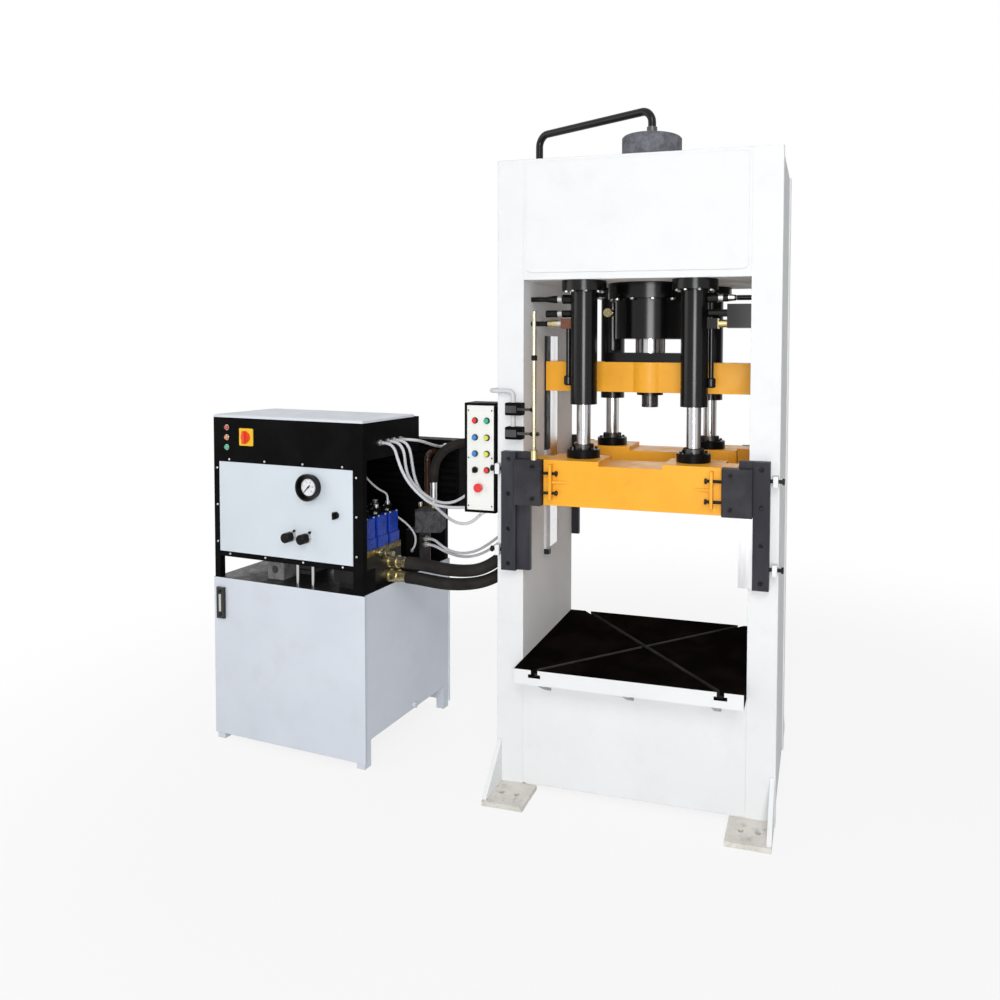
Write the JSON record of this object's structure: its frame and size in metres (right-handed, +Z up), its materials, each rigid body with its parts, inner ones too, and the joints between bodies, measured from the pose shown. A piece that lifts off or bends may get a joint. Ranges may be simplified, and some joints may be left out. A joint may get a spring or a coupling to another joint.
{
  "type": "hydraulic deep drawing press",
  "caption": "Upright frame hydraulic press with a cushioned blank holder, a slotted bolster and a separate oil power unit joined to it by hoses.",
  "frame": {"origin": "on the floor at the middle of the press frame, the centre of its eight anchor holes", "axes": "+X to the press's right as seen from its front, +Y to its back, +Z up"},
  "size_m": [2.8235, 1.06, 3.127],
  "materials": {
    "frame_paint": "semi-gloss",
    "foot_paint": "worn",
    "orange_paint": "gloss",
    "black_steel": "satin",
    "dark_cast": "rough",
    "bright_steel": "ground",
    "chrome": "polished",
    "brass": "satin",
    "black_cabinet": "satin",
    "roof_paint": "satin",
    "panel_white": "satin",
    "blue_paint": "gloss",
    "black_rubber": "matte",
    "grey_plastic": "matte",
    "black_plastic": "satin",
    "red_plastic": "gloss",
    "green_plastic": "gloss",
    "blue_plastic": "gloss",
    "yellow_plastic": "gloss",
    "zinc": "zinc plated"
  },
  "bodies": {
    "press_frame": {"side_frame_left": "frame_paint", "side_frame_right": "frame_paint", "crown_box": "frame_paint", "crown_cover": "frame_paint", "bed_box": "frame_paint", "bolster_plate": "black_steel", "foot_plates": "foot_paint", "guide_rails": "black_steel", "jack_screws": "black_steel", "slide_guides": "bright_steel", "main_cylinder": "black_steel", "cylinder_cap": "dark_cast", "hold_cylinders": "black_steel", "pressure_pipes": "black_steel", "pipe_fittings": "zinc", "limit_switches": "black_plastic", "control_box": "black_cabinet", "control_panel": "panel_white", "oil_tank": "frame_paint", "unit_cabinet": "black_cabinet", "cabinet_roof": "roof_paint", "instrument_panel": "panel_white", "pilot_lamps": "red_plastic", "pressure_gauge": "black_plastic", "pump_motor": "dark_cast", "valve_block": "dark_cast", "directional_valves": "blue_paint", "solenoid_coils": "black_plastic", "hose_fittings": "zinc", "oil_cooler": "black_steel", "cable_glands": "grey_plastic", "main_hose": "black_rubber", "feed_hose": "black_rubber", "return_hose": "black_rubber", "control_conduits": "grey_plastic", "sensor_cables": "grey_plastic"},
    "holder": {"blank_holder": "orange_paint", "guide_shoes": "black_steel", "gib_screws": "black_steel", "hold_rods": "chrome", "trip_rod": "brass"},
    "ram": {"main_ram": "chrome", "slide_beam": "orange_paint", "ram_clamps": "black_steel"},
    "red_button_upper_body": {"red_button_upper": "red_plastic"},
    "green_button_body": {"green_button": "green_plastic"},
    "blue_button_upper_body": {"blue_button_upper": "blue_plastic"},
    "yellow_button_upper_body": {"yellow_button_upper": "yellow_plastic"},
    "blue_button_lower_body": {"blue_button_lower": "blue_plastic"},
    "yellow_button_lower_body": {"yellow_button_lower": "yellow_plastic"},
    "red_button_lower_body": {"red_button_lower": "red_plastic"},
    "mode_selector_body": {"mode_selector": "black_plastic"},
    "emergency_stop_body": {"emergency_stop": "red_plastic"},
    "upper_switch_lever_body": {"upper_switch_lever": "bright_steel"},
    "lower_switch_lever_body": {"lower_switch_lever": "bright_steel"},
    "main_switch_handle_body": {"main_switch_handle": "red_plastic"},
    "key_switch_body": {"key_switch": "black_plastic"},
    "relief_knob_left_body": {"relief_knob_left": "black_plastic"},
    "relief_knob_right_body": {"relief_knob_right": "black_plastic"},
    "gauge_needle_body": {"gauge_needle": "black_plastic"}
  },
  "joints": [
    {"name": "ram_stroke", "type": "slide", "parent": "press_frame", "child": "ram", "axis": [0, 0, 1], "range_m": [-0.34, 0]},
    {"name": "holder_stroke", "type": "slide", "parent": "press_frame", "child": "holder", "axis": [0, 0, 1], "range_m": [-0.3, 0.02]},
    {"name": "red_upper_push", "type": "slide", "parent": "press_frame", "child": "red_button_upper_body", "axis": [0, 1, 0], "range_m": [0, 0.004], "stiffness_N_per_m": 500, "springref_m": -0.002},
    {"name": "green_push", "type": "slide", "parent": "press_frame", "child": "green_button_body", "axis": [0, 1, 0], "range_m": [0, 0.004], "stiffness_N_per_m": 500, "springref_m": -0.002},
    {"name": "blue_upper_push", "type": "slide", "parent": "press_frame", "child": "blue_button_upper_body", "axis": [0, 1, 0], "range_m": [0, 0.004], "stiffness_N_per_m": 500, "springref_m": -0.002},
    {"name": "yellow_upper_push", "type": "slide", "parent": "press_frame", "child": "yellow_button_upper_body", "axis": [0, 1, 0], "range_m": [0, 0.004], "stiffness_N_per_m": 500, "springref_m": -0.002},
    {"name": "blue_lower_push", "type": "slide", "parent": "press_frame", "child": "blue_button_lower_body", "axis": [0, 1, 0], "range_m": [0, 0.004], "stiffness_N_per_m": 500, "springref_m": -0.002},
    {"name": "yellow_lower_push", "type": "slide", "parent": "press_frame", "child": "yellow_button_lower_body", "axis": [0, 1, 0], "range_m": [0, 0.004], "stiffness_N_per_m": 500, "springref_m": -0.002},
    {"name": "red_lower_push", "type": "slide", "parent": "press_frame", "child": "red_button_lower_body", "axis": [0, 1, 0], "range_m": [0, 0.004], "stiffness_N_per_m": 500, "springref_m": -0.002},
    {"name": "mode_select", "type": "hinge", "parent": "press_frame", "child": "mode_selector_body", "pos_m": [-0.735, -0.354, 1.44], "axis": [0, -1, 0], "range_deg": [-45, 45]},
    {"name": "stop_push", "type": "slide", "parent": "press_frame", "child": "emergency_stop_body", "axis": [0, 1, 0], "range_m": [0, 0.005]},
    {"name": "upper_switch_trip", "type": "hinge", "parent": "press_frame", "child": "upper_switch_lever_body", "pos_m": [-0.508, -0.392, 1.724], "axis": [0, 1, 0], "range_deg": [-8, 12], "stiffness_Nm_per_rad": 0.4},
    {"name": "lower_switch_trip", "type": "hinge", "parent": "press_frame", "child": "lower_switch_lever_body", "pos_m": [-0.508, -0.392, 1.617], "axis": [0, 1, 0], "range_deg": [-8, 12], "stiffness_Nm_per_rad": 0.4},
    {"name": "main_switch_turn", "type": "hinge", "parent": "press_frame", "child": "main_switch_handle_body", "pos_m": [-1.95912, -0.36067, 1.546], "axis": [-0.0917, -0.9958, 0], "range_deg": [0, 90]},
    {"name": "key_turn", "type": "hinge", "parent": "press_frame", "child": "key_switch_body", "pos_m": [-1.42041, -0.4103, 1.201], "axis": [-0.0917, -0.9958, 0], "range_deg": [-45, 45]},
    {"name": "relief_left_turn", "type": "hinge", "parent": "press_frame", "child": "relief_knob_left_body", "pos_m": [-1.68329, -0.38608, 1.078], "axis": [-0.0917, -0.9958, 0], "range_deg": [-60, 60]},
    {"name": "relief_right_turn", "type": "hinge", "parent": "press_frame", "child": "relief_knob_right_body", "pos_m": [-1.59168, -0.39452, 1.078], "axis": [-0.0917, -0.9958, 0], "range_deg": [-60, 60]},
    {"name": "needle_swing", "type": "hinge", "parent": "press_frame", "child": "gauge_needle_body", "pos_m": [-1.56643, -0.40388, 1.326], "axis": [-0.0917, -0.9958, 0], "range_deg": [-270, 0], "stiffness_Nm_per_rad": 0.01, "springref_deg": 20.05}
  ]
}
